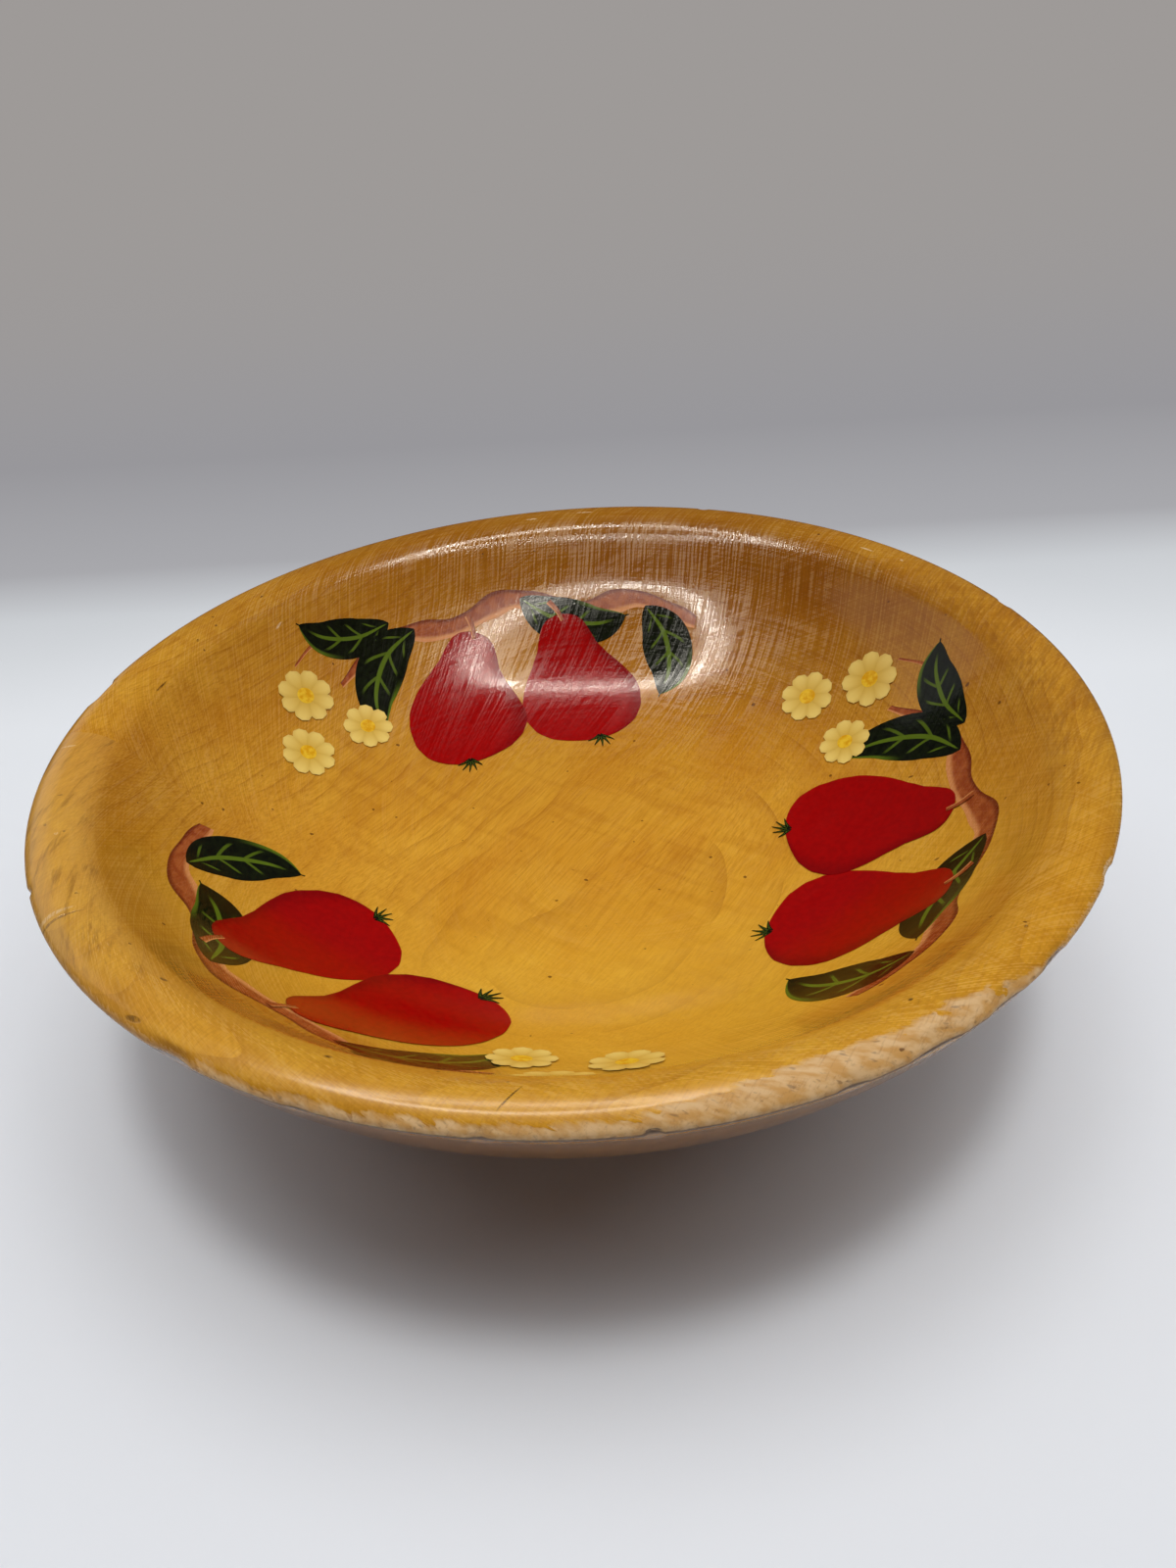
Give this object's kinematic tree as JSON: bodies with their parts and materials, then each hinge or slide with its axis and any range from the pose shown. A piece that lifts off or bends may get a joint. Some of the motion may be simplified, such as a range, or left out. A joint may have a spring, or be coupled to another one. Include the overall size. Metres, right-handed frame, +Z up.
{
  "type": "footed wooden bowl",
  "caption": "Wide shallow turned wooden bowl with a rolled rim and a concave inside, standing on small bun feet pinned under its flat base.",
  "frame": {"origin": "under the middle of the bowl, on the surface that its feet stand on", "axes": "+Z up along the turning axis, +X to the right and +Y away from someone looking from the picture's side"},
  "size_m": [0.3292, 0.3292, 0.1038],
  "materials": {
    "bowl_maple": "turned maple under amber lacquer, satin, worn bare along the front of the rim, with a painted fruit and leaf border inside",
    "foot_maple": "turned maple under amber lacquer, satin",
    "dowel_birch": "bare birch, smooth"
  },
  "bodies": {
    "root": {"bowl": "bowl_maple", "foot_back": "foot_maple", "foot_front_left": "foot_maple", "foot_front_right": "foot_maple", "dowel_back": "dowel_birch", "dowel_front_left": "dowel_birch", "dowel_front_right": "dowel_birch"}
  },
  "joints": []
}
